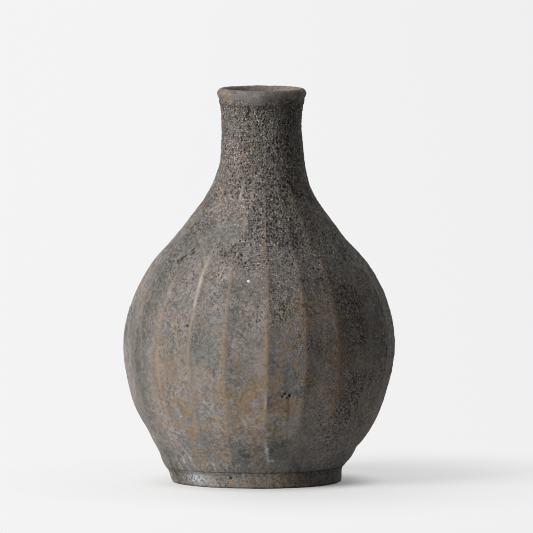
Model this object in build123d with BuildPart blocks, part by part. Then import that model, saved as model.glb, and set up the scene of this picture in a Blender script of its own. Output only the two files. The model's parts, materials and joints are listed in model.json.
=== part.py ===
from build123d import *
import os
from math import atan2, cos, degrees, pi, radians, sin, tau

# Hand-thrown stoneware bottle vase with fluted sides, in millimetres.
# The origin is the centre of the foot's resting plane, +Z is up, and -Y is the front.

# Driving dimensions
HEIGHT = 220.0  # resting plane to the top of the lip
BELLY_R = 75.7  # over the flute ridges, at the widest level
BELLY_Z = 78.0
FOOT_R = 47.3
FOOT_HEIGHT = 9.0
FOOT_BORE_R = 38.0
FOOT_STEP_R = 40.0  # rebate inside the ring's top, which takes the floor slab
FOOT_EASE = 1.0  # rounding of the resting edge
FOOT_GROOVE = 1.2  # bevel under the belly, which makes the turned groove
BORE_R = 18.4  # inside of the neck
NECK_X = 2.7  # how far the neck's upright axis stands off the foot's axis
WALL = 5.2  # clay behind the bottom of a flute
NECK_WALL_TOP = 206.0  # top of the straight bore, where the lip starts to flare

# Flutes
FLUTES = 21
FLUTE_HOLLOW = 0.029  # depth of a flute below its chord, as a share of the chord
FLUTE_PHASE = radians(-87.3)  # direction of the first ridge; -90 degrees is the front
FLUTE_TWIST = radians(2.5)  # turn of the ridges from the belly to the top
HAND_WOBBLE = radians(0.8)  # unevenness of the hand-cut spacing

# Outline over the ridges, as (height, radius, how far the hand-thrown axis has drifted to +X)
OUTLINE = [
    (FOOT_HEIGHT, 48.6, 0.0),
    (20.0, 56.4, 0.2),
    (36.0, 65.8, 0.6),
    (55.0, 72.6, 1.0),
    (BELLY_Z, BELLY_R, 1.2),
    (95.0, 73.2, 1.3),
    (112.0, 66.6, 1.4),
    (128.0, 55.5, 1.4),
    (142.0, 43.3, 1.5),
    (154.0, 34.1, 1.7),
    (166.0, 27.0, 2.2),
    (178.0, 23.8, NECK_X),
    (192.0, 22.5, NECK_X),
    (203.0, 22.3, NECK_X),
    (212.0, 23.3, NECK_X),
]

# Floor and lining
FLOOR_Z = 14.0  # top of the floor slab
FLOOR_R = 40.5
FLOOR_SEAT_R = 42.0
FLOOR_UNDER_Z = 5.0  # underside of the floor, inside the foot ring
FLOOR_CORNER = 5.0
GLAZE = 0.5
HOLLOW_TOP_Z = 160.0  # the hollow follows the outline up to here
THROAT_Z = 176.0  # and has narrowed to the bore here
GLAZE_TOP = 170.0

# Luted seams
BELLY_SEAM_Z = 80.0
BELLY_SEAM_RISE = 2.0  # height and half width of the seam's V ridge
NECK_SEAM_Z = 168.0  # at the outer face
NECK_SEAM_RISE = 3.0
RIM_SEAM_Z = 211.5  # at the outer face; the seat falls to NECK_WALL_TOP at the bore

# Lip, as (radius, height) from its outer foot over the rolled bead and down into the mouth
LIP_UNDER_R = 23.4
LIP_OUTLINE = [
    (LIP_UNDER_R, RIM_SEAM_Z),
    (24.1, 215.1),
    (24.8, 217.4),
    (22.2, HEIGHT),
    (20.3, 218.0),
    (19.1, 213.0),
    (BORE_R, NECK_WALL_TOP),
]

# Feldspar grains
GRAINS = 11
GRAIN_R = 1.0
SMALL_GRAIN_R = 0.7
GRAIN_FIRST_Z = 116.8
GRAIN_STEP_Z = 76.0
GRAIN_LOW_Z = 25.0
GRAIN_SPAN_Z = 130.0
GRAIN_DEPTH = 0.45  # grain centre below the flute's surface, as a share of its radius

FAR = 120.0  # beyond every outside surface


def between(z, column):
    """Value of an outline column at a height, on straight lines between the listed levels."""
    for low, high in zip(OUTLINE, OUTLINE[1:]):
        if z <= high[0]:
            share = max(z - low[0], 0.0) / (high[0] - low[0])
            return low[column] + share * (high[column] - low[column])
    return OUTLINE[-1][column]


def lean(z):
    """Offset of the vase's axis along +X at a height."""
    return between(z, 2)


def ridge_angle(index, z):
    """Direction of a ridge at a height, with the hand-cut unevenness and the slight twist."""
    index = index % FLUTES
    uneven = HAND_WOBBLE * sin(2.1 * index + 0.6)
    twist = FLUTE_TWIST * max(z - BELLY_Z, 0.0) / (HEIGHT - BELLY_Z)
    return FLUTE_PHASE + index * tau / FLUTES + uneven + twist


def ridge_point(index, z, radius):
    """Plan position of a ridge."""
    angle = ridge_angle(index, z)
    return Vector(lean(z) + radius * cos(angle), radius * sin(angle))


def flute_bottom(index, z, radius):
    """Plan position of the deepest line of the flute that follows a ridge."""
    start = ridge_point(index, z, radius)
    end = ridge_point(index + 1, z, radius)
    chord = end - start
    inward = Vector(-chord.Y, chord.X)
    return (start + end) / 2 + inward * FLUTE_HOLLOW


def hollow_radius(z, radius):
    """Radius of the clay's inside face at a height, from the outline radius there."""
    chord = 2 * radius * sin(pi / FLUTES)
    return radius * cos(pi / FLUTES) - FLUTE_HOLLOW * chord - WALL


# Outline as a curve, so that any height can be asked for
with BuildLine(Plane.XZ) as outline:
    Spline(*[(r, z) for z, r, drift in OUTLINE])
outline_curve = outline.line.edges()[0]


def outline_radius(z):
    """Radius over the ridges at a height."""
    return outline_curve.intersect(Plane.XY.offset(z))[0].X


# Solid outside of the fluted wall: scalloped sections, one arc per flute, lofted up the outline
with BuildPart() as outside:
    for z, radius, drift in OUTLINE:
        with BuildSketch(Plane.XY.offset(z)):
            with BuildLine():
                for i in range(FLUTES):
                    ThreePointArc(
                        ridge_point(i, z, radius),
                        flute_bottom(i, z, radius),
                        ridge_point(i + 1, z, radius),
                    )
            make_face()
    loft()

# The hollow that the clay leaves, up to the throat
HOLLOW_LEVELS = [FLOOR_Z] + [z for z, radius, drift in OUTLINE if FLOOR_Z < z < HOLLOW_TOP_Z]


def hollow(inset):
    """Belly hollow as a solid, drawn in by inset on its sides and its floor."""
    with BuildPart() as space:
        for z in HOLLOW_LEVELS:
            level = max(z, FLOOR_Z + inset)
            radius = hollow_radius(z, outline_radius(z)) - inset
            with BuildSketch(Plane.XY.offset(level)):
                with Locations((lean(z), 0)):
                    Circle(radius)
        with BuildSketch(Plane.XY.offset(THROAT_Z)):
            with Locations((NECK_X, 0)):
                Circle(BORE_R - inset)
        loft()
        fillet(space.edges().sort_by(Axis.Z)[0], FLOOR_CORNER)
    return space.part


clay_hollow = hollow(0.0)
glazed_hollow = hollow(GLAZE)


def revolved(points, offset):
    """Solid of revolution of an (radius, height) outline about the upright line at X = offset."""
    with BuildPart() as turned:
        with BuildSketch(Plane.XZ):
            with BuildLine():
                Polyline(*[(offset + r, z) for r, z in points], close=True)
            make_face()
        revolve(axis=Axis((offset, 0, 0), (0, 0, 1)))
    return turned.part


# Everything below each luted seam
belly_mid = hollow_radius(BELLY_SEAM_Z, outline_radius(BELLY_SEAM_Z)) + WALL / 2
below_belly_seam = revolved(
    [
        (0, -FAR),
        (FAR, -FAR),
        (FAR, BELLY_SEAM_Z),
        (belly_mid + BELLY_SEAM_RISE, BELLY_SEAM_Z),
        (belly_mid, BELLY_SEAM_Z + BELLY_SEAM_RISE),
        (belly_mid - BELLY_SEAM_RISE, BELLY_SEAM_Z),
        (0, BELLY_SEAM_Z),
    ],
    lean(BELLY_SEAM_Z),
)
neck_out = outline_radius(NECK_SEAM_Z)
below_neck_seam = revolved(
    [
        (0, -FAR),
        (FAR, -FAR),
        (FAR, NECK_SEAM_Z),
        (neck_out, NECK_SEAM_Z),
        (BORE_R, NECK_SEAM_Z + NECK_SEAM_RISE),
        (0, NECK_SEAM_Z + NECK_SEAM_RISE),
    ],
    NECK_X,
)
below_rim_seam = revolved(
    [
        (0, -FAR),
        (FAR, -FAR),
        (FAR, RIM_SEAM_Z),
        (LIP_UNDER_R, RIM_SEAM_Z),
        (BORE_R, NECK_WALL_TOP),
        (0, NECK_WALL_TOP),
    ],
    NECK_X,
)

# Feldspar grains at the bottoms of the flutes, every second flute, stepping down and round
with BuildPart() as feldspar_grains:
    for i in range(GRAINS):
        flute = (-1 - 2 * i) % FLUTES
        z = GRAIN_LOW_Z + (GRAIN_FIRST_Z - GRAIN_LOW_Z - GRAIN_STEP_Z * i) % GRAIN_SPAN_Z
        size = GRAIN_R if i == 0 else SMALL_GRAIN_R
        surface = flute_bottom(flute, z, outline_radius(z))
        inward = (Vector(lean(z), 0) - surface).normalized()
        centre = surface + inward * size * GRAIN_DEPTH
        facing = degrees(atan2(inward.Y, inward.X))
        with Locations(Location((centre.X, centre.Y, z), (0, 0, facing))):
            Sphere(size)
feldspar_grains.part.label = "feldspar_grains"

# The clay wall in one, before it is parted at its seams
with BuildPart() as wall:
    add(outside.part)
    add(clay_hollow, mode=Mode.SUBTRACT)
    add(feldspar_grains.part, mode=Mode.SUBTRACT)
    with Locations((NECK_X, 0, THROAT_Z)):
        Cylinder(
            BORE_R,
            HEIGHT - THROAT_Z,
            align=(Align.CENTER, Align.CENTER, Align.MIN),
            mode=Mode.SUBTRACT,
        )

# Foot ring: upright outside with an eased resting edge, and a turned groove under the belly
with BuildPart() as foot_ring:
    with BuildSketch(Plane.XZ):
        with BuildLine():
            Polyline(
                (FOOT_BORE_R, 0),
                (FOOT_R, 0),
                (FOOT_R, FOOT_HEIGHT),
                (FOOT_STEP_R, FOOT_HEIGHT),
                (FOOT_STEP_R, FLOOR_UNDER_Z),
                (FOOT_BORE_R, FLOOR_UNDER_Z),
                close=True,
            )
        make_face()
    revolve(axis=Axis.Z)
    outer_edges = foot_ring.edges().filter_by(GeomType.CIRCLE).sort_by(SortBy.RADIUS)[-2:]
    fillet(outer_edges.sort_by(Axis.Z)[0], FOOT_EASE)
    chamfer(outer_edges.sort_by(Axis.Z)[-1], FOOT_GROOVE)
foot_ring.part.label = "foot_ring"

# Floor slab: its lower step drops into the ring's rebate, and its bevelled edge seats in the body
floor_outline = [
    (0, FLOOR_UNDER_Z),
    (FOOT_STEP_R, FLOOR_UNDER_Z),
    (FOOT_STEP_R, FOOT_HEIGHT),
    (FLOOR_SEAT_R, FOOT_HEIGHT),
    (FLOOR_R, FLOOR_Z),
    (0, FLOOR_Z),
]
with BuildPart() as base_disc:
    add(revolved(floor_outline, 0.0))
base_disc.part.label = "base_disc"

with BuildPart() as lower_body:
    add(wall.part)
    add(below_belly_seam, mode=Mode.INTERSECT)
    add(base_disc.part, mode=Mode.SUBTRACT)
lower_body.part.label = "lower_body"

with BuildPart() as upper_body:
    add(wall.part)
    add(below_belly_seam, mode=Mode.SUBTRACT)
    add(below_neck_seam, mode=Mode.INTERSECT)
upper_body.part.label = "upper_body"

with BuildPart() as neck:
    add(wall.part)
    add(below_neck_seam, mode=Mode.SUBTRACT)
    add(below_rim_seam, mode=Mode.INTERSECT)
neck.part.label = "neck"

# Rim: rolled bead outside, soft flare inside, on the neck's bevelled seat
with BuildPart() as rim:
    with BuildSketch(Plane.XZ):
        with BuildLine():
            lip_points = [(NECK_X + r, z) for r, z in LIP_OUTLINE]
            lip_curve = Spline(*lip_points, tangents=[(0.2, 1), (0, -1)])
            Line(lip_curve @ 1, lip_curve @ 0)
        make_face()
    revolve(axis=Axis((NECK_X, 0, 0), (0, 0, 1)))
rim.part.label = "rim"

# Glaze lining of the belly, from the floor to the shoulder
with BuildPart() as liner_glaze:
    add(clay_hollow)
    add(glazed_hollow, mode=Mode.SUBTRACT)
    split(bisect_by=Plane.XY.offset(GLAZE_TOP), keep=Keep.BOTTOM)
liner_glaze.part.label = "liner_glaze"

os.makedirs("parts", exist_ok=True)
export_step(foot_ring.part, "parts/foot_ring.step")
export_step(base_disc.part, "parts/base_disc.step")
export_step(lower_body.part, "parts/lower_body.step")
export_step(upper_body.part, "parts/upper_body.step")
export_step(neck.part, "parts/neck.step")
export_step(rim.part, "parts/rim.step")
export_step(liner_glaze.part, "parts/liner_glaze.step")
export_step(feldspar_grains.part, "parts/feldspar_grains.step")
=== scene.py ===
import itertools
import json
import math

import bpy
import numpy as np
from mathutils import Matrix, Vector
from mathutils.bvhtree import BVHTree

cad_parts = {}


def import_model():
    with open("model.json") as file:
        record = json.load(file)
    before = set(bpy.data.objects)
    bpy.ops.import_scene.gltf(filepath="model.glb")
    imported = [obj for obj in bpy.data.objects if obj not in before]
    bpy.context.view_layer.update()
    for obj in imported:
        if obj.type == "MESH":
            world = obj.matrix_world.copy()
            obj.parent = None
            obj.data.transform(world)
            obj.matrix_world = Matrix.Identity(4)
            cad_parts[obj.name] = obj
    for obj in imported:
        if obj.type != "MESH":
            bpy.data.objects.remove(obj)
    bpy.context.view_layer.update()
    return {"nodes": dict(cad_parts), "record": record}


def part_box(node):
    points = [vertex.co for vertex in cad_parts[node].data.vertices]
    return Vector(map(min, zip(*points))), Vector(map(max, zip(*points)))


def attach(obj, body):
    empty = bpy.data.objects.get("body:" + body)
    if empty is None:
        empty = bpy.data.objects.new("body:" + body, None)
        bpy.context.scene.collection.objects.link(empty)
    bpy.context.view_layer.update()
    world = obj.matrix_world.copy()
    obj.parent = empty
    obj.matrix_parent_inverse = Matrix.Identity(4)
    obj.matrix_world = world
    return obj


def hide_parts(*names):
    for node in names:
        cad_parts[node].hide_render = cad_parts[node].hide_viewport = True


# A stoneware bottle vase. Its whole surface is read off the CAD solids as one skin: a grid of
# rows (from the middle of the underside, up the outside, over the lip and down to the floor
# inside) and columns (round the vase). The clay's relief is pressed into the skin, and each
# piece is then cut from it, so that neighbours meet exactly at their seams.

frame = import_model()

MM = 0.001
COLUMNS = 1024
ROW_STEP = 0.42 * MM

mounts = {m["name"]: m for m in frame["record"]["mounts"]}
NECK_X = mounts["neck_bore"]["pos_m"][0]
FOOT_BORE_R = mounts["foot_recess"]["dims"]["r_mm"] * MM
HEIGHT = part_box("rim")[1].z
RIM_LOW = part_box("rim")[0].z
RIM_R = (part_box("rim")[1].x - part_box("rim")[0].x) / 2
NECK_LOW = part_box("neck")[0].z
NECK_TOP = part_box("neck")[1].z
SHOULDER_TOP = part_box("upper_body")[1].z
BELLY_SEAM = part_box("upper_body")[0].z
BELLY_R = (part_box("upper_body")[1].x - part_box("upper_body")[0].x) / 2
FOOT_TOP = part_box("foot_ring")[1].z
FOOT_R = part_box("foot_ring")[1].x
FLOOR_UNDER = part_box("base_disc")[0].z
FLOOR_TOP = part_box("base_disc")[1].z
FLOOR_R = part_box("base_disc")[1].x
LINER_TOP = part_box("liner_glaze")[1].z
FLUTES = 21
GLAZE = 0.5 * MM  # thickness of the glaze lining
BEAD_LOW = HEIGHT / MM - 5.6  # height of the underside of the rolled lip, in millimetres
CENTRE_R = 1.0 * MM  # radius of the last ring before a surface closes at the axis
STEP_R = FLOOR_R - 2.0 * MM  # the step of the floor slab, which drops into the foot
FLOOR_EDGE_R = FLOOR_R - 1.5 * MM  # the floor slab's upper edge
SEAM_IN = 3.1 * MM  # from the wall's inner face to the middle of the belly's V seam
WALL_LOW = FOOT_TOP + 0.4 * MM  # height where the wall stands clear of the foot's edge
BACK_LOW = FLOOR_TOP + 4.0 * MM  # lowest row of the clay's face behind the glaze
BACK_GAP = 1.0 * MM  # hidden rows stop this far short of the belly seam
FAR = BELLY_R * 1.5  # where rays towards the wall start


# ---------------------------------------------------------------- the skin, off the CAD solids


def tree_of(*names):
    """Ray-casting tree over some CAD nodes."""
    points, faces = [], []
    for name in names:
        mesh = frame["nodes"][name].data
        start = len(points)
        points.extend(v.co.copy() for v in mesh.vertices)
        faces.extend([start + i for i in p.vertices] for p in mesh.polygons)
    return BVHTree.FromPolygons(points, faces)


def directions(count):
    """Unit vectors evenly round the vase."""
    angles = np.arange(count) * math.tau / count
    return np.stack([np.cos(angles), np.sin(angles), np.zeros(count)], axis=1)


OUT = directions(COLUMNS)


def steps(low, high, step):
    """Evenly spaced values from low to high, about a step apart."""
    return np.linspace(low, high, max(2, int(round(abs(high - low) / step)) + 1))


def cast(tree, centre_x, radius, z, aim_r, aim_z, ways=OUT):
    """One row: each column casts from (radius, z) along (aim_r, aim_z) in its own half plane."""
    row = np.zeros((len(ways), 3))
    for j, (c, s, _) in enumerate(ways):
        origin = Vector((centre_x + c * radius, s * radius, z))
        hit = tree.ray_cast(origin, Vector((c * aim_r, s * aim_r, aim_z)))[0]
        if hit is None:
            raise RuntimeError(f"a ray from {radius:.4f}, {z:.4f} missed the clay")
        row[j] = hit
    return row


def turned(tree, centre_x, radius, z, angles, inward):
    """Rows cast at angles round a point of the section: towards it from outside, or away."""
    far = 15 * MM
    rows = []
    for angle in np.radians(angles):
        c, s = math.cos(angle), math.sin(angle)
        if inward:
            rows.append(cast(tree, centre_x, radius + far * c, z + far * s, -c, -s))
        else:
            rows.append(cast(tree, centre_x, radius, z, c, s))
    return rows


WALL = tree_of("lower_body", "upper_body", "neck", "rim")


def read_axis():
    """How far the vase's axis stands off the foot's, as (heights, offsets), off the clay itself."""
    ways = directions(4 * FLUTES)
    heights = steps(WALL_LOW, NECK_TOP - 1.0 * MM, 4 * MM)
    offsets = []
    for z in heights:
        row = cast(WALL, 0.0, FAR, z, -1.0, 0.0, ways)
        reach = np.hypot(row[:, 0], row[:, 1])
        offsets.append(2 * np.mean(reach * ways[:, 0]))
    return heights, np.array(offsets)


AXIS_HEIGHTS, AXIS_OFFSETS = read_axis()


def axis_x(z):
    """X of the vase's axis at a height."""
    return np.interp(z, AXIS_HEIGHTS, AXIS_OFFSETS)


def outer_rows(heights):
    """Rows of the wall's outer face."""
    return [cast(WALL, axis_x(z), FAR, z, -1.0, 0.0) for z in heights]


def bore_rows(heights):
    """Rows of the inner face of the lip and the neck."""
    return [cast(WALL, NECK_X, 0.0, z, 1.0, 0.0) for z in heights]


def foot_stretches():
    """The bottom inside the foot, and the foot ring's own faces."""
    under = tree_of("base_disc")
    radii = steps(CENTRE_R, FOOT_BORE_R - 0.3 * MM, 1.0 * MM)
    middle = (FOOT_BORE_R + FOOT_R) / 2
    angles = steps(174.0, 410.0, 5.0)
    return {
        "under": [cast(under, 0.0, r, -FAR, 0.0, 1.0) for r in radii],
        "foot": turned(tree_of("foot_ring"), 0.0, middle, FOOT_TOP / 2, angles, True),
    }


def wall_stretches():
    """The outer face from the foot's edge to the top of the neck."""
    radii = steps(FOOT_R - 0.8 * MM, FOOT_R + 0.6 * MM, ROW_STEP)
    edge = [cast(WALL, 0.0, r, FOOT_TOP / 2, 0.0, 1.0) for r in radii]
    return {
        "lower": edge + outer_rows(steps(WALL_LOW, BELLY_SEAM, ROW_STEP)),
        "upper": outer_rows(steps(BELLY_SEAM, NECK_LOW, ROW_STEP)[1:]),
        "neck": outer_rows(steps(NECK_LOW, NECK_TOP, ROW_STEP)[1:]),
    }


def mouth_stretches():
    """Over the lip, and down the bore to the top of the glaze lining."""
    lip_z = HEIGHT - 4.0 * MM
    lip_r = RIM_R - 2.6 * MM
    heights = steps(NECK_TOP, lip_z, ROW_STEP)[1:-1]
    outside = [cast(WALL, NECK_X, FAR, z, -1.0, 0.0) for z in heights]
    over = turned(WALL, NECK_X, lip_r, lip_z, steps(0.0, 180.0, 7.5), True)
    return {
        "rim": outside + over + bore_rows(steps(lip_z, RIM_LOW, 2 * ROW_STEP)[1:]),
        "neck_inside": bore_rows(steps(RIM_LOW, SHOULDER_TOP, 2 * ROW_STEP)[1:]),
        "throat": bore_rows([LINER_TOP + 0.2 * MM]),
    }


def liner_rows():
    """The glaze lining, down the wall, round the corner and in to the middle of the floor."""
    liner = tree_of("liner_glaze")
    corner_z = FLOOR_TOP + 10.0 * MM
    corner_r = FLOOR_R - 4.0 * MM
    corner_x = axis_x(corner_z)
    heights = steps(LINER_TOP - 0.2 * MM, corner_z, 4 * ROW_STEP)
    rows = [cast(liner, axis_x(z), 0.0, z, 1.0, 0.0) for z in heights]
    rows += turned(liner, corner_x, corner_r, corner_z, steps(-6.0, -90.0, 6.0), False)
    radii = steps(corner_r, CENTRE_R, 3.0 * MM)[1:]
    return rows + [cast(liner, corner_x, r, corner_z, 0.0, -1.0) for r in radii]


def blurred(values, width, along_columns):
    """Gaussian blur of the grid, round the columns or up the rows."""
    reach = int(math.ceil(3 * width))
    weights = np.exp(-0.5 * (np.arange(-reach, reach + 1) / width) ** 2)
    weights /= weights.sum()
    total = np.zeros_like(values)
    if along_columns:
        for k, w in enumerate(weights):
            total += w * np.roll(values, k - reach, axis=1)
        return total
    index = np.arange(len(values))
    for k, w in enumerate(weights):
        total += w * values[np.clip(index + k - reach, 0, len(values) - 1)]
    return total


def normals_of(grid):
    """Outward normals of the skin from its own rows and columns."""
    round_way = np.roll(grid, -1, axis=1) - np.roll(grid, 1, axis=1)
    up_way = np.gradient(grid, axis=0)
    normal = np.cross(round_way, up_way)
    return normal / np.maximum(np.linalg.norm(normal, axis=2, keepdims=True), 1e-12)


# Every stretch of the surface, in order along the section from the middle of the underside
stretches = {**foot_stretches(), **wall_stretches(), **mouth_stretches(), "liner": liner_rows()}
first_row = {}
skin = []
for stretch, rows in stretches.items():
    first_row[stretch] = len(skin)
    skin.extend(rows)
skin = np.array(skin)
ROWS = len(skin)
last_row = {s: first_row[s] + len(rows) - 1 for s, rows in stretches.items()}
skin = blurred(skin, 1.0, along_columns=False)
skin = blurred(skin, 0.9 * COLUMNS / 512, along_columns=True)


def soften_flutes(grid):
    """Flutes as the hand left them: nearly gone on the neck and by the foot, a little worn between."""
    z = grid[:, :, 2] / MM
    centre = axis_x(grid[:, :, 2])
    radius = np.hypot(grid[:, :, 0] - centre, grid[:, :, 1])
    plain = blurred(radius, COLUMNS / FLUTES * 0.6, along_columns=True)
    up_neck = np.clip((z - 158) / 16, 0, 1)
    by_foot = np.clip((60 - z) / 36, 0, 1)
    worn = 0.12 + 0.68 * up_neck + 0.72 * by_foot
    scale = 1 + worn * (plain / np.maximum(radius, 1e-9) - 1)
    rows = slice(first_row["lower"], last_row["neck"] + 1)
    grid[rows, :, 0] = (centre + (grid[:, :, 0] - centre) * scale)[rows]
    grid[rows, :, 1] = (grid[:, :, 1] * scale)[rows]


soften_flutes(skin)


def fill_groove(grid):
    """Clay smeared over the groove between the foot and the belly, most of all on the left."""
    z = grid[:, :, 2] / MM
    reach = np.hypot(grid[:, :, 0], grid[:, :, 1]) / MM
    low, high = FOOT_TOP / MM - 2.2, FOOT_TOP / MM + 1.6
    above = first_row["lower"] + int(np.argmax(z[first_row["lower"] :, 0] > high))
    level = np.interp(z, [low, high], [FOOT_R / MM, reach[above].mean()])
    within = np.clip((z - low) / 0.6, 0, 1) * np.clip((high - z) / 0.6, 0, 1)
    within = within * np.clip((reach - FOOT_R / MM + 2.4) / 1.2, 0, 1)
    leftward = np.clip(0.2 - OUT[:, 0], 0, 1)
    share = within * (0.62 + 0.38 * leftward) * (level > reach)
    scale = 1 + share * (level / np.maximum(reach, 1e-6) - 1)
    rows = slice(first_row["foot"], above + 1)
    grid[rows, :, :2] *= scale[rows, :, None]


fill_groove(skin)


# ---------------------------------------------------------------- repeatable noise


HASH_PRIMES = (73856093, 19349663, 83492791)
MIX_FIRST = 2246822519
MIX_LAST = 3266489917
WORD = 0xFFFFFFFF
HALF_WORD = 0xFFFF


def cell_random(ix, iy, iz, salt):
    """Repeatable number in 0..1 for each whole-number cell."""
    x, y, z = (i * prime for i, prime in zip((ix, iy, iz), HASH_PRIMES))
    n = x ^ y ^ z ^ (salt * 40503 + 977)
    n = ((n & WORD) * MIX_FIRST) & WORD
    n = ((n ^ (n >> 15)) * MIX_LAST) & WORD
    n = n ^ (n >> 16)
    return (n & HALF_WORD).astype(np.float32) / HALF_WORD


def soft_noise(points, size, salt):
    """Smooth noise in -1..1 with features of about a size, in metres."""
    cell = points / size
    low = np.floor(cell).astype(np.int64)
    part = (cell - low).astype(np.float32)
    part = part * part * (3 - 2 * part)
    total = np.zeros(len(points), np.float32)
    for corner in itertools.product((0, 1), repeat=3):
        weight = np.ones(len(points), np.float32)
        for axis in range(3):
            weight *= part[:, axis] if corner[axis] else 1 - part[:, axis]
        ix, iy, iz = (low[:, a] + corner[a] for a in range(3))
        total += weight * cell_random(ix, iy, iz, salt)
    return 2 * total - 1


def grains(points, size, share, salt):
    """Height 0..1 of round grains, at most one to a cell, in a share of the cells."""
    cell = points / size
    low = np.floor(cell - 0.5).astype(np.int64)
    height = np.zeros(len(points), np.float32)
    for corner in itertools.product((0, 1), repeat=3):
        ix, iy, iz = (low[:, a] + corner[a] for a in range(3))
        distance = np.zeros(len(points), np.float32)
        for a, i in enumerate((ix, iy, iz)):
            spot = i + 0.25 + 0.5 * cell_random(ix, iy, iz, salt + a)
            distance += ((cell[:, a] - spot) ** 2).astype(np.float32)
        radius = 0.35 + 0.24 * cell_random(ix, iy, iz, salt + 3)
        there = cell_random(ix, iy, iz, salt + 4) < share
        height = np.maximum(height, there * np.clip(1 - distance / radius**2, 0, 1))
    return height


def ease(low, high, value):
    """0 below low, 1 above high, and a smooth step between."""
    t = np.clip((value - low) / (high - low), 0, 1)
    return t * t * (3 - 2 * t)


# ---------------------------------------------------------------- where the clay is what

# Angles round the wall are in degrees (0 front, 90 right, -90 left) and sizes in millimetres.
flat = skin.reshape(-1, 3)
z_mm = flat[:, 2] / MM
centre_x = axis_x(flat[:, 2])
turn = np.degrees(np.arctan2(flat[:, 0] - centre_x, -flat[:, 1]))
reach_mm = np.hypot(flat[:, 0] - centre_x, flat[:, 1]) / MM
foot_mm = FOOT_TOP / MM


def blot(angle, height, half_width, half_height, slant=0.0):
    """Soft oval on the wall, 1 in its middle; slant leans it over as it rises."""
    across = ((turn - angle + 180) % 360 - 180) * math.pi / 180 * reach_mm
    up = z_mm - height
    across = across - slant * up
    return np.exp(-((across / half_width) ** 2) - (up / half_height) ** 2)


def blots(*spots):
    """Sum of soft ovals: (strength, angle, height, half width, half height, and any slant)."""
    return sum(strength * blot(*place) for strength, *place in spots)


def band(height, half_height):
    """Soft ring round the wall, 1 at a height."""
    return np.exp(-(((z_mm - height) / half_height) ** 2))


def rows_mask(start, stop):
    """1 on the skin's rows from start up to stop, 0 elsewhere."""
    rows = np.zeros((ROWS, COLUMNS), np.float32)
    rows[start:stop] = 1.0
    return rows.ravel()


top_row = int(np.argmax(skin[:, :, 2].mean(axis=1)))
fluted = rows_mask(first_row["lower"], last_row["neck"] + 1)
outer = rows_mask(first_row["foot"], last_row["rim"] + 1)
inside = rows_mask(first_row["liner"], last_row["liner"] + 1)
mouth = rows_mask(top_row, first_row["liner"])
bead = ease(BEAD_LOW - 0.5, BEAD_LOW + 1.0, z_mm) * outer
foot_side = ease(foot_mm + 0.6, foot_mm - 0.2, z_mm) * outer

gather = soft_noise(flat, 12 * MM, 11)  # where rough clay and pits gather
drift = soft_noise(flat, 30 * MM, 12)
upright = soft_noise(flat * (1, 1, 0.3), 7 * MM, 13)  # streaks that run up the wall
wave = soft_noise(flat, 3.6 * MM, 61)
right_side = ease(-10, 60, turn + 14 * gather) * (1 - ease(150, 178, turn))


def ridge_mask():
    """1 on the flute ridges: where the wall stands proud of its own mean circle."""
    radius = np.hypot(skin[:, :, 0] - centre_x.reshape(ROWS, -1), skin[:, :, 1])
    local = blurred(radius, COLUMNS / FLUTES * 0.45, along_columns=True)
    proud = radius - local
    spread = np.maximum(proud.std(axis=1, keepdims=True), 0.02 * MM)
    return ease(1.35, 2.3, proud / spread).ravel()


def worn_ridges():
    """The ridges that still show: they break up, and fade by the foot and up the shoulder."""
    kept = 0.62 + 0.38 * ease(-0.45, 0.35, upright + 0.35 * gather)
    shown = ridge_mask() * fluted * ease(26, 46, z_mm + 7 * gather) * kept
    shown *= 1 - 0.6 * ease(116, 132, z_mm + 6 * gather) * (1 - blot(22, 145, 44, 40))
    shown *= 1 - ease(160, 169, z_mm + 4 * gather)
    for faded in ((0.6, -62, 40, 16, 30), (0.4, -52, 78, 5, 60), (-0.6, 22, 138, 12, 30)):
        shown *= 1 - blots(faded)
    return shown * (1 - 0.6 * ease(118, 130, z_mm) * ease(0.2, -0.3, wave))


def lee_of(ridges):
    """The far side of each ridge from the light, a few millimetres wide."""
    spread = blurred(ridges.reshape(ROWS, COLUMNS), 5, along_columns=True)
    return np.roll(spread, 10, axis=1).ravel()


def rough_mask():
    """Open, grainy clay: more with height, and down the right side; the lip's bead is smooth."""
    value = 0.07 + 0.36 * ease(60, 114, z_mm + 12 * gather) + 0.5 * ease(124, 160, z_mm + 14 * gather)
    value += right_side * (0.30 * ease(20, 60, z_mm) + 0.10)
    value += blots((0.35, 46, 45, 17, 22), (0.3, 10, 145, 22, 26), (-0.2, -42, 140, 22, 22))
    value += 0.10 * ease(foot_mm + 1.0, foot_mm - 0.5, z_mm) + 0.08 * ease(24, 12, z_mm)
    value = np.clip(value, 0.05, 1.0)
    return value * (1 - 0.8 * ease(BEAD_LOW - 3.0, BEAD_LOW + 1.0, z_mm + 1.5 * upright))


def pitted_mask():
    """Where the clay is pitted: some of the rough clay, and patches of its own."""
    value = 0.9 * rough * ease(-0.7, 0.4, gather)
    value += 0.08 * ease(foot_mm + 0.5, foot_mm - 0.5, z_mm) * ease(-0.2, 0.5, gather)
    value += blots(
        (0.35, 47, 47, 12, 18),
        (0.35, 28, 128, 34, 26),
        (0.30, -48, 122, 16, 14),
        (0.25, -10, 135, 14, 12),
        (0.5, -50, 128, 3, 6, 0.6),
        (0.7, 13, 54, 2.6, 3),
        (0.4, 60, 127, 3, 4),
        (0.2, 14, 163, 9, 8),
        (0.3, -12, 205, 5, 6),
    )
    return np.clip(value, 0, 1) * outer


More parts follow.
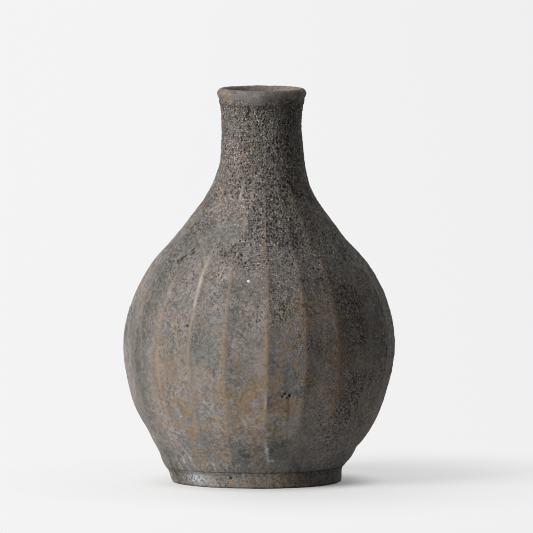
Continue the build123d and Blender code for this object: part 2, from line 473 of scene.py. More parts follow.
CHIPS = (
    (-33, 92.3, 0.9, 0.8),
    (59, 127, 1.0, 0.9),
    (46, 113, 0.8, 0.8),
    (-53.5, 126, 0.8, 0.8),
    (-51.5, 127.6, 1.0, 0.9),
    (-49.5, 129.0, 0.9, 0.8),
    (-50.0, 126.4, 0.7, 0.7),
    (-46.5, 132.5, 0.7, 0.8),
    (-44.5, 131, 0.6, 0.7),
    (-17.6, 6.0, 0.9, 0.8),
    (-18, 209, 0.9, 1.3),
    (-21, 207, 0.8, 0.8),
    (12, 55, 0.8, 0.7),
    (14.2, 54, 0.7, 0.9),
    (10.8, 53.4, 0.6, 0.7),
)


def pits():
    """Depth 0..1 of the pits: grain-sized ones where the clay is pitted, and single chips."""
    spread = pitted + 0.3 * soft_noise(flat, 3 * MM, 64)
    small = grains(flat + 0.029, 1.8 * MM, 0.6, 40) * ease(0.45, 0.85, spread)
    chips = sum(blot(*place) for place in CHIPS)
    return np.maximum(small, np.minimum(1.5 * chips, 1))


ridge = worn_ridges()
lee = lee_of(ridge)
rough = rough_mask()
pitted = pitted_mask()
pit = pits()


# ---------------------------------------------------------------- relief of the fired clay


def clay_relief():
    """How far the clay stands out of the smooth skin, in millimetres: grains, pits and ash."""
    coarse = grains(flat, 1.9 * MM, 0.75, 20)
    fine = grains(flat + 0.013, 1.25 * MM, 0.9, 30)
    lump = soft_noise(flat, 9 * MM, 60)
    tooth = soft_noise(flat, 1.1 * MM, 62)
    out = (0.24 * coarse + 0.18 * fine) * rough - 0.42 * pit
    out += 0.15 * lump + (0.08 + 0.08 * rough) * wave + 0.05 * tooth + 0.25 * drift * outer
    out -= 0.14 * ridge * ease(0.0, 0.6, wave)
    ash_runs = blots(
        (0.6, 6.0, 21.5, 1.2, 5.0, -0.2),
        (0.5, 9.5, 16, 2.2, 0.9),
        (0.4, 3.6, 50, 0.7, 4.5),
        (0.35, -50, 15, 0.9, 6.0, -0.35),
        (0.3, -44, 17, 0.8, 5.0, -0.35),
    )
    out += ash_runs - 0.22 * blot(14.5, 46, 0.8, 6.5, -0.1)
    out -= 0.28 * band(BEAD_LOW, 0.45) * outer * ease(-0.5, 0.3, drift)
    return out * (1 - 0.85 * inside)


def hand_pressed():
    """How far the wall is pressed straight out from its axis, in millimetres.

    The hand left the left of the wall fuller, above all where it meets the foot, and pressed the
    right in above the foot.
    """
    left = blots(
        (0.75, -92, 66, 48, 34),
        (-0.8, -92, 29, 40, 6),
        (0.5, -90, 44, 26, 7),
        (3.0, -95, 10.6, 62, 5.4),
        (0.4, -90, 4.0, 60, 3.0),
        (0.45, -92, 93, 40, 16),
        (0.5, -92, 46, 34, 8),
        (0.45, -92, 22, 34, 11),
    )
    right = blots(
        (0.5, 90, 85, 45, 26),
        (1.15, 88, 34, 30, 16),
        (0.35, 88, 104, 30, 7),
        (1.1, 86, 13.5, 18, 4.0),
        (-0.8, 80, 19.7, 12, 1.6),
    )
    neck = blots((0.5, 90, 176, 16, 26), (0.5, -90, 164, 12, 9), (0.3, -90, 204, 12, 8))
    return (left + right + neck) * outer * ease(0.0, 2.0, z_mm)


def press(grid):
    """The skin with the clay's relief and the hand's pressure in it, standing on the floor."""
    relief = clay_relief().reshape(ROWS, COLUMNS, 1) * MM
    pushed = hand_pressed().reshape(ROWS, COLUMNS, 1) * MM
    out = grid + normals_of(grid) * relief + OUT[None, :, :] * pushed
    out[:, :, 2] = np.maximum(out[:, :, 2], 0.0)
    return out


pressed = press(skin)
skin_normals = normals_of(pressed)


# ---------------------------------------------------------------- shade and stains of the clay


def tone_mask():
    """The clay's tone: paler low on the belly, darker on the shoulder; painted shade to the right,
    painted light to the left.
    """
    value = 1.05 - 0.32 * ease(122, 178, z_mm + 6 * gather) + 0.34 * ease(96, 24, z_mm + 8 * gather)
    # painted shade: the right_side term darkens the side away from the light
    value += 0.06 * upright + 0.05 * gather - 0.14 * right_side
    # painted light: the first term lightens the left edge, towards the light
    value += 0.14 * ease(-70, -84, turn) * ease(-110, -95, turn) + 0.12 * wave * blot(30, 38, 44, 32)
    # painted light: lighter patches towards the lit left of the shoulder and neck
    value += blots(
        (0.20, -25, 92, 46, 24),
        (0.30, -20, 148, 26, 24),
        (0.12, -60, 195, 20, 26),
        (0.14, -70, 190, 40, 34),
        (0.13, -18, 198, 12, 9),
        (0.14, -18, 184, 14, 12),
        (0.11, -12, 158, 20, 12),
        (0.06, -22, 116, 26, 12),
    )
    value -= blots(
        (0.14, -6, 18, 5, 7),
        (0.14, 12, 24, 6, 7),
        (0.16, 4, 210, 18, 4),
        (0.35, 14.6, 46, 0.8, 6.5, -0.1),
        (0.25, 12.6, 54, 2.4, 2.4),
        # painted shade on the right of the belly, away from the light
        (0.30, 52, 92, 40, 34),
        (0.22, -66, 13, 15, 9),
        (0.17, -62.5, 80, 9, 46),
    )
    # painted shade on the lee of each ridge, stronger towards the right
    value -= lee * (0.10 + 0.28 * ease(8, 50, turn)) * ease(30, 50, z_mm)
    value = foot_tone(value)
    # the lip's bead: painted light on its left, painted shade down its right
    value += (0.86 + 0.26 * blot(-52, 217, 30, 8) - value) * bead * (1 - 0.35 * right_side)
    return value + (1.05 - value) * mouth


def foot_tone(value):
    """The tone at the foot: painted shade in the crease above it, down its side and along its bottom,
    and a painted highlight on its lower edge.
    """
    # painted shade in the crease between the belly and the foot
    painted_crease_shade = band(foot_mm + 0.8, 1.5) * ease(-58, -34, turn) * ease(200, 150, turn)
    # the foot's side darker all round and on its left, with painted shade growing towards the right,
    # away from the light
    shade = 0.16 + 0.36 * ease(-30, 50, turn) + 0.28 * blot(-64, 5, 13, 9)
    value = value - 0.26 * painted_crease_shade - foot_side * shade
    # painted contact shadow along the foot's bottom edge
    value -= 0.5 * ease(0.9, 0.3, z_mm) * outer
    # painted highlight on the foot's lit lower edge
    return value + 0.20 * band(1.5, 0.45) * outer * ease(-0.3, 0.5, upright + 0.3)


def iron_mask():
    """Where iron bloomed brown: mostly low on the belly, and on the lip."""
    value = blots(
        (0.6, -38, 42, 19, 16),
        (0.9, -2, 54, 10, 9),
        (0.8, 3, 41, 9, 11),
        (0.9, 15, 47, 6, 6),
        (0.8, 14, 74, 9, 20),
        (0.8, 18, 102, 8, 9),
        (0.45, -48, 86, 17, 26),
        (0.6, -14, 50, 7, 30),
        (0.8, 38, 84, 16, 26),
        (0.3, -20, 60, 60, 34),
        (0.5, 150, 60, 60, 34),
        (0.45, -130, 90, 40, 30),
        (0.55, -34, 22, 12, 11),
        (0.4, -16, 14, 16, 5),
        (0.3, 4, 16, 8, 5),
        (0.5, -30, 4, 8, 4),
        (0.4, -40, 185, 24, 30),
    )
    low = ease(foot_mm + 0.6, foot_mm - 0.2, z_mm)
    value += 0.45 * low * ease(-0.6, 0.3, gather) + 0.25 * ease(-0.2, 0.8, drift)
    value *= 1 - 0.8 * blot(-64, 62, 10, 60)
    value *= 1 - 0.85 * blot(-36, 143, 30, 24)
    return value + 0.6 * bead * ease(-0.7, 0.3, gather) + 0.7 * mouth


def green_mask():
    """Grey-green patches where ash melted into the clay."""
    return blots(
        (1.3, -7, 20, 6, 9),
        (1.3, 11, 24, 7, 8),
        (0.8, -26, 84, 12, 11),
        (0.7, 13, 52, 8, 8),
        (0.6, 75, 70, 22, 60),
        (0.9, -62.5, 78, 10, 54),
        (0.6, 50, 195, 14, 30),
        (0.6, -62, 14, 12, 9),
        (0.6, -64, 5, 9, 6),
        (0.5, -56, 128, 16, 12),
        (0.6, -40, 142, 20, 14),
    )


def bright_mask():
    """Painted highlights: pale lines on ridges that face the light, and on fine upright streaks near
    both sides.
    """
    # upright streaks that carry painted highlights near both edges
    streak_highlight = ease(0.05, 0.6, soft_noise(flat * (1, 1, 0.16), 2.2 * MM, 14))
    # painted highlights on the ridges that face the light
    lit_ridge_highlight = blots(
        (1.3, -30.5, 112, 0.95, 15),
        (1.2, -22.8, 163, 0.8, 6),
        (0.8, -9, 162, 0.9, 8),
        (0.8, -12, 147, 0.9, 4),
        (0.4, -30, 168, 0.7, 5),
    )
    left = blots((0.30, -77, 70, 10, 60), (0.20, -62, 88, 8, 26))
    right = blots((0.22, 70, 110, 10, 44), (0.20, 76, 60, 10, 40))
    return (lit_ridge_highlight + streak_highlight * (left + right)) * (0.6 + 0.4 * ease(-0.3, 0.3, wave))


def pale_mask():
    """Whitish ash: runs low on the front and the left, a smear on the foot, and a few marks."""
    return blots(
        (1.3, 6.0, 21.5, 1.3, 5.0, -0.2),
        (1.2, 9.5, 16, 2.4, 0.9),
        (0.9, 3.6, 50, 0.7, 4.5),
        (1.3, -43, 4.8, 8, 2.8),
        (1.0, -50, 15, 1.0, 6.0, -0.35),
        (0.8, -44, 17, 0.9, 5.0, -0.35),
        (0.5, -56, 12, 0.9, 4.0, -0.35),
        (0.5, -27.5, 12.2, 1.2, 2.2),
        (0.5, -28, 12.7, 1.2, 2.5),
        (0.5, 13, 38, 5, 1.2),
        (0.5, -47.6, 110, 2, 2),
    )


def mask_grids():
    """The masks that the clay's material reads, as grids over the skin."""
    fine_pits = 0.20 * blot(52, 34, 24, 14)
    values = {"ridge": ridge, "rough": rough, "hollow": pit, "pitted": pitted + fine_pits}
    values.update(tone=tone_mask(), bright=bright_mask(), iron=iron_mask())
    values.update(green=green_mask(), pale=pale_mask())
    return {k: np.clip(v, 0, 1.5).astype(np.float32).reshape(ROWS, COLUMNS) for k, v in values.items()}


masks = mask_grids()


# ---------------------------------------------------------------- cutting the pieces


def ring(radius, z):
    """A plain circle of the CAD's own size, for the seams that are hidden inside the clay."""
    row = OUT * radius
    row[:, 0] += axis_x(z)
    row[:, 2] = z
    return row


def seen(first, last):
    """Skin rows, as (points, normals, masks, seen) loops."""
    order = range(first, last + 1) if first <= last else range(first, last - 1, -1)
    return [(pressed[i], skin_normals[i], {k: v[i] for k, v in masks.items()}, True) for i in order]


def hidden(*rows):
    """Loops inside the clay: their normals and masks don't show."""
    blank = {k: np.zeros(COLUMNS, np.float32) for k in masks}
    return [(row, OUT, blank, False) for row in rows]


def behind_glaze(low, high):
    """The clay's face behind the glaze lining between two heights, from the top down."""
    rows = range(first_row["liner"], last_row["liner"], 3)
    return [skin[i] + OUT * GLAZE for i in rows if low < skin[i, 0, 2] < high]


HERE = np.arange(COLUMNS)
NEXT = (HERE + 1) % COLUMNS
HIDDEN_SHARE = 0.2  # hidden faces get this much of their length in the UVs


def quads_between(loops, closed):
    """Quads from each loop to the next, and their UVs: round the piece, and along its section."""
    count = len(loops)
    pairs = [(i, (i + 1) % count) for i in range(count if closed else count - 1)]
    lengths = [0.0]
    for a, b in pairs:
        gap = np.linalg.norm(loops[a][0] - loops[b][0], axis=1).mean()
        shown = loops[a][3] and loops[b][3]
        lengths.append(lengths[-1] + gap * (1 if shown else HIDDEN_SHARE))
    along = np.array(lengths) / lengths[-1]
    left, right = HERE / COLUMNS, (HERE + 1) / COLUMNS
    quads, uvs = [], []
    for (a, b), start, end in zip(pairs, along, along[1:]):
        a, b = a * COLUMNS, b * COLUMNS
        quads.append(np.stack([a + HERE, a + NEXT, b + NEXT, b + HERE], axis=1))
        low, high = np.full(COLUMNS, start), np.full(COLUMNS, end)
        corners = [left, low, right, low, right, high, left, high]
        uvs.append(np.stack(corners, axis=1).reshape(-1, 2))
    return np.concatenate(quads).tolist(), np.concatenate(uvs)


def cap(start, tip, first):
    """Triangles that close the loop at start with the point tip, and their UVs."""
    pair = (start + NEXT, start + HERE) if first else (start + HERE, start + NEXT)
    triangles = np.stack([*pair, np.full(COLUMNS, tip)], axis=1)
    edge = np.full(COLUMNS, 0.0 if first else 1.0)
    return triangles.tolist(), np.stack([HERE / COLUMNS, edge] * 3, axis=1).reshape(-1, 2)


def build_piece(name, loops, closed):
    """Mesh of a piece from its loops: a closed ring, or a body of revolution closed at the axis."""
    points = np.concatenate([loop[0] for loop in loops])
    normals = np.concatenate([loop[1] for loop in loops])
    faces, uvs = quads_between(loops, closed)
    ends = [] if closed else [(0, True), (len(points) - COLUMNS, False)]
    for start, first in ends:
        triangles, cap_uvs = cap(start, len(points), first)
        faces += triangles
        uvs = np.concatenate([uvs, cap_uvs])
        points = np.vstack([points, points[start : start + COLUMNS].mean(axis=0)])
        normals = np.vstack([normals, normals[start : start + COLUMNS].mean(axis=0)])
    mesh = bpy.data.meshes.new(name)
    mesh.from_pydata(points.tolist(), [], faces)
    layer = mesh.uv_layers.new(name="OFBake")
    layer.data.foreach_set("uv", uvs.astype(np.float32).ravel())
    for key in masks:
        values = np.concatenate([loop[2][key] for loop in loops])
        values = np.concatenate([values, np.zeros(len(ends), np.float32)])
        mesh.attributes.new(key, "FLOAT", "POINT").data.foreach_set("value", values)
    mesh.shade_smooth()
    mesh.normals_split_custom_set_from_vertices(normals.tolist())
    mesh.update()
    piece = bpy.data.objects.new(name, mesh)
    bpy.context.scene.collection.objects.link(piece)
    return piece


def belly_seam():
    """Loops of the V seam, from the outside in."""
    inner = skin[first_row["liner"] :, 0]
    near = int(np.argmin(np.abs(inner[:, 2] - BELLY_SEAM)))
    middle = inner[near, 0] - axis_x(BELLY_SEAM) + SEAM_IN
    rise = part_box("lower_body")[1].z - BELLY_SEAM
    return [
        ring(middle + rise, BELLY_SEAM),
        ring(middle, BELLY_SEAM + rise),
        ring(middle - rise, BELLY_SEAM),
    ]


def foot_pieces():
    """The foot ring and the floor slab."""
    foot = seen(first_row["foot"], last_row["foot"])
    foot += hidden(ring(STEP_R, FOOT_TOP), ring(STEP_R, FLOOR_UNDER))
    disc = seen(first_row["under"], last_row["under"])
    disc += hidden(ring(STEP_R, FLOOR_UNDER), ring(STEP_R, FOOT_TOP), ring(FLOOR_R, FOOT_TOP))
    disc += hidden(ring(FLOOR_EDGE_R, FLOOR_TOP), ring(CENTRE_R, FLOOR_TOP))
    return {
        "foot_ring": build_piece("foot_ring_clay", foot, closed=True),
        "base_disc": build_piece("base_disc_clay", disc, closed=False),
    }


def body_pieces():
    """The two halves of the belly, on either side of the V seam."""
    seam = belly_seam()
    lower = seen(first_row["lower"], last_row["lower"])
    lower += hidden(*seam, *behind_glaze(BACK_LOW, BELLY_SEAM - BACK_GAP))
    lower += hidden(ring(FLOOR_EDGE_R, FLOOR_TOP), ring(FLOOR_R, FOOT_TOP))
    upper = seen(last_row["lower"], last_row["upper"])
    upper += seen(last_row["neck_inside"], last_row["throat"])
    upper += hidden(*behind_glaze(BELLY_SEAM + BACK_GAP, LINER_TOP), *reversed(seam))
    return {
        "lower_body": build_piece("lower_body_clay", lower, closed=True),
        "upper_body": build_piece("upper_body_clay", upper, closed=True),
    }


def top_pieces():
    """The neck, the rim, and the glaze lining."""
    neck = seen(last_row["upper"], last_row["neck"]) + seen(last_row["rim"], last_row["neck_inside"])
    rim = seen(last_row["neck"], last_row["rim"])
    liner = hidden(ring(CENTRE_R, FLOOR_TOP), ring(FLOOR_EDGE_R, FLOOR_TOP))
    liner += hidden(*reversed(behind_glaze(BACK_LOW, LINER_TOP)))
    liner += seen(first_row["liner"], last_row["liner"])
    return {
        "neck": build_piece("neck_clay", neck, closed=True),
        "rim": build_piece("rim_clay", rim, closed=True),
        "liner_glaze": build_piece("liner_glaze_coat", liner, closed=False),
    }


pieces = {**foot_pieces(), **body_pieces(), **top_pieces()}


# ---------------------------------------------------------------- materials


RAMP_INPUTS = ("From Min", "From Max", "To Min", "To Max")


class Nodes:
    """Short way to write a node material, with sizes in millimetres."""

    def __init__(self, name):
        self.material = bpy.data.materials.new(name)
        self.material.use_nodes = True
        self.tree = self.material.node_tree
        self.shader = self.tree.nodes["Principled BSDF"]
        self.place = self.add("ShaderNodeTexCoord").outputs["Object"]

    def add(self, kind, **settings):
        node = self.tree.nodes.new(kind)
        for key, value in settings.items():
            setattr(node, key, value)
        return node

    def put(self, socket, value):
        """Link a socket to another node's output, or give it a plain value."""
        if isinstance(value, bpy.types.NodeSocket):
            self.tree.links.new(value, socket)
        elif isinstance(value, tuple) and len(value) == 3 and socket.type == "RGBA":
            socket.default_value = (*value, 1.0)
        else:
            socket.default_value = value

    def stretched(self, x, y, z):
        node = self.add("ShaderNodeMapping")
        self.put(node.inputs["Vector"], self.place)
        node.inputs["Scale"].default_value = (x, y, z)
        return node.outputs["Vector"]

    def noise(self, size_mm, detail=3.0, rough=0.55, warp=0.0, vector=None, seed=0.0):
        node = self.add("ShaderNodeTexNoise", noise_dimensions="4D")
        self.put(node.inputs["Vector"], vector or self.place)
        node.inputs["Scale"].default_value = 1 / (size_mm * MM)
        node.inputs["Detail"].default_value = detail
        node.inputs["Roughness"].default_value = rough
        node.inputs["Distortion"].default_value = warp
        node.inputs["W"].default_value = seed
        return node.outputs["Fac"]

    def cells(self, size_mm, seed=0.0):
        """Distance from the middle of a random cell, and the cell's own random shade."""
        moved = self.add("ShaderNodeMapping")
        self.put(moved.inputs["Vector"], self.place)
        moved.inputs["Location"].default_value = (seed, 0.0, 0.0)
        node = self.add("ShaderNodeTexVoronoi")
        self.put(node.inputs["Vector"], moved.outputs["Vector"])
        node.inputs["Scale"].default_value = 1 / (size_mm * MM)
        return node.outputs["Distance"], node.outputs["Color"]

    def mask(self, name):
        """One of the skin's masks, stored at the mesh's points."""
        return self.add("ShaderNodeAttribute", attribute_name=name).outputs["Fac"]

    def ease(self, value, low, high, start=0.0, end=1.0):
        """From start to end as value goes from low to high, smoothly."""
        node = self.add("ShaderNodeMapRange", interpolation_type="SMOOTHSTEP")
        self.put(node.inputs["Value"], value)
        for key, number in zip(RAMP_INPUTS, (low, high, start, end)):
            node.inputs[key].default_value = number
        return node.outputs["Result"]

    def math(self, operation, a, b=0.0, c=0.0):
        node = self.add("ShaderNodeMath", operation=operation)
        for socket, value in zip(node.inputs, (a, b, c)):
            self.put(socket, value)
        return node.outputs[0]

    def mix(self, share, a, b, blend="MIX"):
        node = self.add("ShaderNodeMix", data_type="RGBA", blend_type=blend)
        self.put(node.inputs[0], share)
        self.put(node.inputs[6], a)
        self.put(node.inputs[7], b)
        return node.outputs[2]

    def bump(self, height, depth_mm, strength=1.0, under=None):
        node = self.add("ShaderNodeBump")
        self.put(node.inputs["Height"], height)
        node.inputs["Distance"].default_value = depth_mm * MM
        node.inputs["Strength"].default_value = strength
        if under is not None:
            self.put(node.inputs["Normal"], under)
        return node.outputs["Normal"]

    def finish(self, colour, roughness, normal=None, specular=0.5):
        self.put(self.shader.inputs["Base Color"], colour)
        self.put(self.shader.inputs["Roughness"], roughness)
        self.shader.inputs["Specular IOR Level"].default_value = specular
        if normal is not None:
            self.put(self.shader.inputs["Normal"], normal)
        return self.material


GREY_WARM = (0.226, 0.199, 0.179)
GREY_COOL = (0.166, 0.158, 0.149)
GREY_DARK = (0.104, 0.098, 0.088)
GREY_GREEN = (0.098, 0.101, 0.092)
IRON_BROWN = (0.208, 0.155, 0.106)
RIDGE_TAN = (0.290, 0.202, 0.128)
# colour of the painted highlights on lit ridges and edge streaks
PALE_HIGHLIGHT = (0.46, 0.405, 0.345)
ASH_PALE = (0.45, 0.465, 0.465)
GRAIN_TAN = (0.56, 0.46, 0.37)
# the brightest grains: clear quartz with a painted glint
QUARTZ_GLINT = (0.95, 0.86, 0.74)
# painted shade inside the pits
PIT_SHADE = (0.010, 0.009, 0.008)
GLAZE_DARK = (0.10, 0.068, 0.045)
GLAZE_LIGHT = (0.20, 0.15, 0.11)
GLAZE_SPECK = (0.03, 0.025, 0.02)
MELT_WHITE = (0.88, 0.92, 0.95)
MELT_GREY = (0.70, 0.71, 0.70)
STAIN_LIGHT = (0.30, 0.27, 0.22)
STAIN_DARK = (0.20, 0.18, 0.15)


def mottled(n, smudge):
    """Patchy greys, green ash and brown iron, shaded by the clay's broad tone."""
    broad = n.noise(22, 4, 0.6, 0.4, seed=1)
    patch = n.noise(6, 4, 0.65, 0.5, n.stretched(1.0, 1.0, 0.35), seed=2)
    runs = n.noise(7.5, 3, 0.55, 0.6, n.stretched(1.0, 1.0, 0.7), seed=4)
    colour = n.mix(n.ease(broad, 0.38, 0.62), GREY_WARM, GREY_COOL)
    colour = n.mix(n.ease(patch, 0.44, 0.70, 0.0, 0.65), colour, GREY_DARK)
    colour = n.mix(n.math("MULTIPLY", n.mask("green"), n.ease(smudge, 0.3, 0.6)), colour, GREY_GREEN)
    iron = n.math("MULTIPLY", n.mask("iron"), n.ease(runs, 0.465, 0.545, 0.08, 1.15))
    colour = n.mix(n.math("MINIMUM", iron, 1.0), colour, IRON_BROWN)
    return n.mix(1.0, colour, n.mask("tone"), "MULTIPLY")


def speckled(n, colour, grit, rough_zone):
    """Lighter and darker specks at three sizes, stronger where the clay is rough or worked."""
    blur = n.ease(n.noise(2.0, 2, 0.6, seed=10), 0.38, 0.62, -1.0, 1.0)
    flake = n.ease(n.noise(4.4, 4, 0.62, 1.2, seed=15), 0.485, 0.535, -0.5, 0.5)
    worked = n.ease(n.noise(15, 3, 0.55, 0.8, seed=16), 0.42, 0.60, 0.07, 0.24)
    worked = n.math("ADD", worked, n.math("MULTIPLY", rough_zone, 0.05))
    blur = n.math("MULTIPLY_ADD", blur, worked, n.math("MULTIPLY_ADD", flake, 0.16, 1.0))
    spread = n.math("MULTIPLY_ADD", rough_zone, 0.72, 0.07)
    swing = n.math("MULTIPLY_ADD", n.ease(grit, 0.38, 0.62, -1.0, 1.0), spread, blur)
    swing = n.math("MULTIPLY", swing, n.math("MULTIPLY_ADD", rough_zone, -0.22, 1.05))
    return n.mix(1.0, colour, swing, "MULTIPLY")


def light_grains(n, rough_zone):
    """Where the open clay's pale grains are, and their colour: tan, and a few of clear quartz with a
    painted glint.
    """
    grain, pick = n.cells(1.0, seed=5)
    where = n.math("MULTIPLY", n.ease(grain, 0.46, 0.28), n.ease(pick, 0.46, 0.66))
    where = n.math("MULTIPLY", where, n.ease(rough_zone, 0.12, 0.85))
    colour = n.mix(n.ease(pick, 0.74, 0.84), GRAIN_TAN, QUARTZ_GLINT)
    return where, n.mix(1.0, colour, n.mask("tone"), "MULTIPLY")


def small_pits(n):
    """Where the pitted clay's smallest holes are."""
    hole, choice = n.cells(1.5, seed=6)
    where = n.math("MULTIPLY", n.ease(hole, 0.41, 0.28), n.ease(choice, 0.46, 0.38))
    return n.math("MULTIPLY", where, n.ease(n.mask("pitted"), 0.12, 0.65))


def marked(n, colour, smudge):
    """The clay with its worn ridges, painted highlight lines, ash, and deep pits painted dark as shade.
    """
    worn = n.math("MULTIPLY", n.mask("ridge"), n.ease(smudge, 0.38, 0.54, 0.4, 1.1))
    colour = n.mix(worn, colour, n.mix(1.0, RIDGE_TAN, n.mask("tone"), "MULTIPLY"))
    # painted highlights: pale lines on lit ridges and near the edges
    colour = n.mix(n.mask("bright"), colour, PALE_HIGHLIGHT)
    ash = n.math("MULTIPLY", n.mask("pale"), n.ease(n.noise(1.6, 3, 0.6, seed=7), 0.40, 0.58))
    colour = n.mix(ash, colour, ASH_PALE)
    # the deep pits painted near black: painted shade in the holes
    return n.mix(n.ease(n.mask("hollow"), 0.2, 0.8, 0.0, 0.8), colour, PIT_SHADE)


def stoneware():
    """Rough fired clay: mottled greys, iron blooms, worn ridges, pits painted dark as shade, light
    grains and painted highlights.
    """
    n = Nodes("stoneware")
    smudge = n.noise(2.6, 3, 0.6, seed=9)
    grit = n.noise(0.70, 2, 0.75, seed=3)
    rough_zone = n.mask("rough")
    light, grain_colour = light_grains(n, rough_zone)
    dark = small_pits(n)
    colour = speckled(n, mottled(n, smudge), grit, rough_zone)
    colour = n.mix(n.math("MULTIPLY", light, 0.66), colour, grain_colour)
    # the smallest pits painted near black: painted shade in the holes
    colour = marked(n, n.mix(dark, colour, PIT_SHADE), smudge)
    shine = n.ease(n.noise(5, 3, seed=8), 0.35, 0.65, 0.66, 0.9)
    height = n.math("MULTIPLY", grit, n.math("MULTIPLY_ADD", rough_zone, 1.3, 0.16))
    raised = n.math("SUBTRACT", n.math("MULTIPLY", light, 0.8), dark)
    normal = n.bump(raised, 0.40, 1.0, n.bump(height, 0.45, 1.0))
    return n.finish(colour, shine, normal, 0.35)


def lining():
    """Thin brown satin glaze inside, with a little run and speckle."""
    n = Nodes("liner_glaze_satin")
    runs = n.noise(8, 4, 0.6, 0.3, n.stretched(1.0, 1.0, 0.3), seed=11)
    colour = n.mix(n.ease(runs, 0.35, 0.65), GLAZE_DARK, GLAZE_LIGHT)
    colour = n.mix(n.ease(n.noise(1.4, 2, seed=12), 0.55, 0.70), colour, GLAZE_SPECK)
    normal = n.bump(n.noise(2.0, 3, seed=13), 0.15, 0.6)
    return n.finish(colour, n.ease(runs, 0.3, 0.7, 0.30, 0.5), normal)


def feldspar():
    """Melted pale mineral with faint cloudy veins."""
    n = Nodes("feldspar_melt")
    cloud = n.noise(0.6, 3, seed=21)
    clean = n.mix(n.ease(cloud, 0.35, 0.7), MELT_WHITE, MELT_GREY)
    stained = n.mix(n.ease(cloud, 0.35, 0.7), STAIN_LIGHT, STAIN_DARK)
    colour = n.mix(n.mask("clean"), stained, clean)
    normal = n.bump(n.noise(0.35, 2, seed=22), 0.05, 0.5)
    return n.finish(colour, n.ease(cloud, 0.3, 0.7, 0.2, 0.4), normal)


clay = stoneware()
glaze = lining()
for node, piece in pieces.items():
    piece.data.materials.append(glaze if node == "liner_glaze" else clay)
    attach(piece, "root")
    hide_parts(node)


# ---------------------------------------------------------------- feldspar grains


def islands(obj):
    """Centre and radius of each separate solid of a CAD node."""
    mesh = obj.data
    points = np.array([v.co for v in mesh.vertices])
    keys = {}
    group = list(range(len(points)))
    for i, p in enumerate(points):
        group[i] = keys.setdefault(tuple(np.round(p / (0.002 * MM)).astype(int)), i)

    def root(i):
        while group[i] != i:
            group[i] = group[group[i]]
            i = group[i]
        return i

    for polygon in mesh.polygons:
        a = root(polygon.vertices[0])
        for i in polygon.vertices[1:]:
            group[root(i)] = a
    members = {}
    for i in range(len(points)):
        members.setdefault(root(i), []).append(points[i])
    found = []
    for cluster in members.values():
        low, high = np.min(cluster, axis=0), np.max(cluster, axis=0)
        found.append(((low + high) / 2, float((high - low).max() / 2)))
    return sorted(found, key=lambda item: -item[1])


def crystal(ball, rng):
    """Points of a unit ball, stretched and chipped."""
    shape = np.array([v.co for v in ball.vertices]) * rng.uniform(0.85, 1.15, 3)
    chips = rng.normal(size=(7, 3))
    chips /= np.linalg.norm(chips, axis=1, keepdims=True)
    for chip in chips:
        over = np.maximum(shape @ chip - 0.82, 0.0)
        shape = shape - over[:, None] * chip * 0.9
    return shape


def cleanness(index, centre):
    """How white a grain is: the largest clean, any low at the front's left half, others stained."""
    if index == 0:
        return 1.0
    low_left = centre[0] < -30 * MM and centre[1] < 0 and centre[2] < 50 * MM
    return 0.5 if low_left else 0.08


def make_grains():
    """Chipped, rounded crystals in the places of the CAD's grains."""
    rng = np.random.default_rng(5)
    points, faces, clean = [], [], []
    bpy.ops.mesh.primitive_ico_sphere_add(subdivisions=4, radius=1.0)
    ball = bpy.context.object
    for index, (centre, radius) in enumerate(islands(frame["nodes"]["feldspar_grains"])):
        shape = crystal(ball.data, rng)
        start = len(points)
        points.extend((centre + shape * radius * 1.04).tolist())
        clean.extend([cleanness(index, centre)] * len(shape))
        faces.extend([start + i for i in p.vertices] for p in ball.data.polygons)
    old = ball.data
    bpy.data.objects.remove(ball)
    bpy.data.meshes.remove(old)
    mesh = bpy.data.meshes.new("feldspar_crystals")
    mesh.from_pydata(points, [], faces)
    mesh.attributes.new("clean", "FLOAT", "POINT").data.foreach_set("value", clean)
    mesh.shade_smooth()
    piece = bpy.data.objects.new("feldspar_crystals", mesh)
    bpy.context.scene.collection.objects.link(piece)
    mesh.materials.append(feldspar())
    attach(piece, "root")
    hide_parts("feldspar_grains")


make_grains()


# ---------------------------------------------------------------- studio


FLOOR_R_SEEN = 30.0
FLOOR_SEEN = (0.99, 0.99, 0.99)
FLOOR_SPECKLE = (0.9801, 0.9801, 0.9801)
FLOOR_BOUNCE = (0.36, 0.36, 0.36)  # what the vase gets back from the floor
BACK_LEFT = (0.90, 0.90, 0.90)
BACK_RIGHT = (0.865, 0.865, 0.865)
SKY_FRONT = 0.016
SKY_BEHIND = 1.08
SKY_TOP = 0.40
KEY_POWER = 172  # watts
LENS_AWAY = 8.0  # metres, for a long lens's flat perspective
LENS_TILT = 4.6  # degrees above the horizon
VIEW_WIDTH = 1.352 * HEIGHT  # width of the picture at the vase
VIEW_MIDDLE = 0.5464 * HEIGHT  # height that the camera looks at


def floor_glow(n, x):
    """Share of the floor's shade that is the backdrop's own, by the distance from the vase."""
    distance = n.add("ShaderNodeVectorMath", operation="LENGTH")
    n.put(distance.inputs[0], n.place)
    away = distance.outputs["Value"]
    share = n.ease(away, 0.049, 0.075, 0.15, 0.52)  # up from the shadow at the foot
    share = n.math("ADD", share, n.ease(x, 0.03, -0.06, 0.0, 0.22))  # lighter on the lit side
    share = n.math("ADD", share, n.ease(away, 0.085, 0.24, 0.0, 0.48))
    return n.math("MINIMUM", share, 1.0)


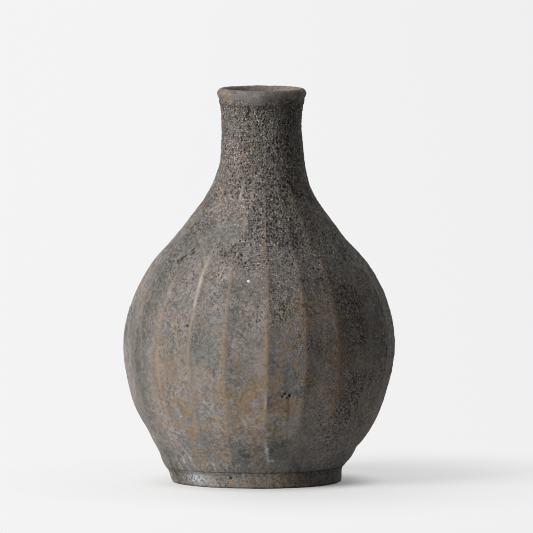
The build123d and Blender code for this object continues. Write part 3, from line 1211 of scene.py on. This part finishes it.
def floor():
    """Pale floor: lit near the vase, and as bright as the backdrop further off."""
    bpy.ops.mesh.primitive_circle_add(vertices=96, radius=FLOOR_R_SEEN, fill_type="NGON")
    disc = bpy.context.object
    disc.name = "studio_floor"
    n = Nodes("studio_floor")
    seen_by = n.add("ShaderNodeLightPath").outputs["Is Camera Ray"]
    split = n.add("ShaderNodeSeparateXYZ")
    n.put(split.inputs[0], n.place)
    x = split.outputs["X"]
    tint = n.mix(n.ease(n.noise(900, 2, seed=31), 0.3, 0.7), FLOOR_SEEN, FLOOR_SPECKLE)
    n.finish(n.mix(seen_by, FLOOR_BOUNCE, tint), 0.9, specular=0.1)
    glow = n.add("ShaderNodeEmission")
    white = n.mix(n.ease(x, -0.20, 0.30), BACK_LEFT, BACK_RIGHT)
    n.put(glow.inputs["Color"], n.mix(seen_by, FLOOR_BOUNCE, white))
    blend = n.add("ShaderNodeMixShader")
    n.put(blend.inputs[0], floor_glow(n, x))
    n.tree.links.new(n.shader.outputs[0], blend.inputs[1])
    n.tree.links.new(glow.outputs[0], blend.inputs[2])
    n.tree.links.new(blend.outputs[0], n.tree.nodes["Material Output"].inputs["Surface"])
    disc.data.materials.append(n.material)


def sky_ramp(tree, way, low, high, start, end):
    """Smooth change of the sky's strength along one axis of its direction."""
    ramp = tree.nodes.new("ShaderNodeMapRange")
    ramp.interpolation_type = "SMOOTHSTEP"
    tree.links.new(way, ramp.inputs["Value"])
    for key, number in zip(RAMP_INPUTS, (low, high, start, end)):
        ramp.inputs[key].default_value = number
    return ramp.outputs["Result"]


def world():
    """Camera sees an even white; the vase is lit from behind and above, and little from in front."""
    sky = bpy.data.worlds.new("studio")
    bpy.context.scene.world = sky
    sky.use_nodes = True
    tree = sky.node_tree
    tree.nodes.clear()
    seen_by = tree.nodes.new("ShaderNodeLightPath")
    place = tree.nodes.new("ShaderNodeTexCoord")
    split = tree.nodes.new("ShaderNodeSeparateXYZ")
    tree.links.new(place.outputs["Generated"], split.inputs[0])
    depth = sky_ramp(tree, split.outputs["Y"], 0.1, 0.95, SKY_FRONT, SKY_BEHIND)
    top = sky_ramp(tree, split.outputs["Z"], 0.2, 1.0, 0.0, SKY_TOP)
    total = tree.nodes.new("ShaderNodeMath")
    tree.links.new(depth, total.inputs[0])
    tree.links.new(top, total.inputs[1])
    strength = tree.nodes.new("ShaderNodeMix")
    tree.links.new(seen_by.outputs["Is Camera Ray"], strength.inputs[0])
    tree.links.new(total.outputs[0], strength.inputs[2])
    strength.inputs[3].default_value = BACK_LEFT[0]
    back = tree.nodes.new("ShaderNodeBackground")
    back.inputs["Color"].default_value = (1.0, 1.0, 1.0, 1.0)
    tree.links.new(strength.outputs[0], back.inputs["Strength"])
    out = tree.nodes.new("ShaderNodeOutputWorld")
    tree.links.new(back.outputs[0], out.inputs["Surface"])


def area_light(name, azimuth, elevation, distance, size, power, aim):
    """Soft box: azimuth 0 is in front of the vase, 90 its right, -90 its left."""
    data = bpy.data.lights.new(name, "AREA")
    data.shape = "RECTANGLE"
    data.size, data.size_y = size
    data.energy = power
    lamp = bpy.data.objects.new(name, data)
    bpy.context.scene.collection.objects.link(lamp)
    a, e = math.radians(azimuth), math.radians(elevation)
    way = Vector((math.sin(a) * math.cos(e), -math.cos(a) * math.cos(e), math.sin(e)))
    lamp.location = aim + way * distance
    lamp.rotation_euler = (-way).to_track_quat("-Z", "Y").to_euler()
    return lamp


def camera():
    """Long lens, a little above the vase's middle."""
    elevation = math.radians(LENS_TILT)
    aim = Vector((2.0 * NECK_X, 0.0, VIEW_MIDDLE))
    data = bpy.data.cameras.new("camera")
    data.sensor_width = 36.0
    data.lens = data.sensor_width * LENS_AWAY / VIEW_WIDTH
    data.clip_end = 200.0
    view = bpy.data.objects.new("camera", data)
    bpy.context.scene.collection.objects.link(view)
    way = Vector((0.0, -math.cos(elevation), math.sin(elevation)))
    view.location = aim + way * LENS_AWAY
    view.rotation_euler = (-way).to_track_quat("-Z", "Y").to_euler()
    bpy.context.scene.camera = view


floor()
world()
middle = Vector((0.0, 0.0, HEIGHT / 2))
area_light("key", azimuth=-56, elevation=20, distance=4.0, size=(2.0, 2.4), power=KEY_POWER, aim=middle)
camera()

scene = bpy.context.scene
scene.view_settings.view_transform = "Standard"
scene.cycles.use_denoising = True
scene.cycles.filter_width = 1.0
scene.cycles.max_bounces = 6
